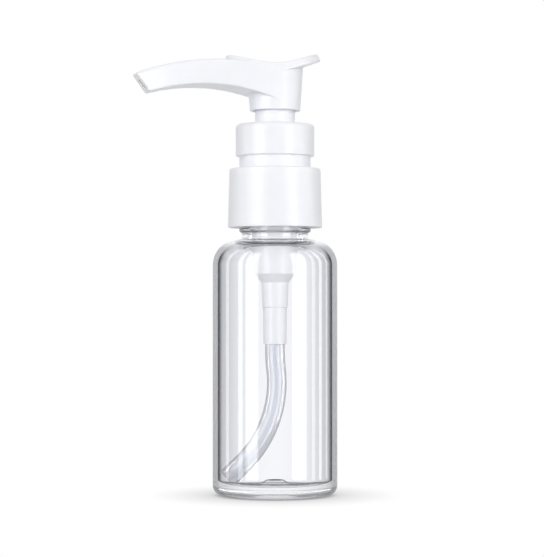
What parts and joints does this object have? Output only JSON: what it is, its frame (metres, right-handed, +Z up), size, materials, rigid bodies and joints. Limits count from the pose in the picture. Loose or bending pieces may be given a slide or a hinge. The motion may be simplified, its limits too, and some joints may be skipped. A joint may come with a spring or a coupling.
{
  "type": "pump bottle",
  "caption": "Clear round travel bottle with a white screw cap and a hand pump: arched flat-sided spout, saddle finger pad, collar, dip tube.",
  "frame": {"origin": "centre of the bottle's standing ring, on the surface it stands on", "axes": "+Z up along the bottle, the spout points to -X, +Y to the side"},
  "size_m": [0.0561, 0.034, 0.1207],
  "materials": {
    "clear_pet": "clear blown plastic, glossy",
    "white_pp": "white moulded plastic, semi-gloss",
    "natural_pp": "undyed moulded plastic, satin",
    "tube_pe": "extruded translucent tube, satin",
    "seal": "soft foamed sealing sheet",
    "spring_steel": "bright stainless wire"
  },
  "bodies": {
    "bottle_body": {"bottle": "clear_pet"},
    "pump": {"pump_housing": "white_pp", "collar": "white_pp", "gasket": "seal", "spring": "spring_steel", "dip_tube": "tube_pe"},
    "cap": {"screw_cap": "white_pp"},
    "plunger": {"stem": "natural_pp", "valve_stem": "natural_pp"},
    "piston_ring": {"piston": "natural_pp"},
    "head": {"actuator": "white_pp"},
    "valve_ball": {"inlet_ball": "spring_steel"}
  },
  "joints": [
    {"name": "pump_lift", "type": "slide", "parent": "bottle_body", "child": "pump", "axis": [0, 0, 1], "range_m": [0, 0.00476]},
    {"name": "cap_turn", "type": "hinge", "parent": "pump", "child": "cap", "pos_m": [0, 0, 0.08], "axis": [0, 0, 1], "range_deg": [0, 540]},
    {"name": "pump_press", "type": "slide", "parent": "pump", "child": "plunger", "axis": [0, 0, -1], "range_m": [0, 0.0034], "stiffness_N_per_m": 1000, "springref_m": -0.006, "deforming": ["spring"]},
    {"name": "piston_shift", "type": "slide", "parent": "plunger", "child": "piston_ring", "axis": [0, 0, 1], "range_m": [0, 0.0008]},
    {"name": "head_swivel", "type": "hinge", "parent": "plunger", "child": "head", "pos_m": [0, 0, 0.11], "axis": [0, 0, 1], "continuous": true},
    {"name": "ball_rise", "type": "slide", "parent": "pump", "child": "valve_ball", "axis": [0, 0, 1], "range_m": [0, 0.0012]}
  ],
  "couplings": [
    {"joint": "cap_turn", "follows": "pump_lift", "rad_per_m": 1979}
  ]
}
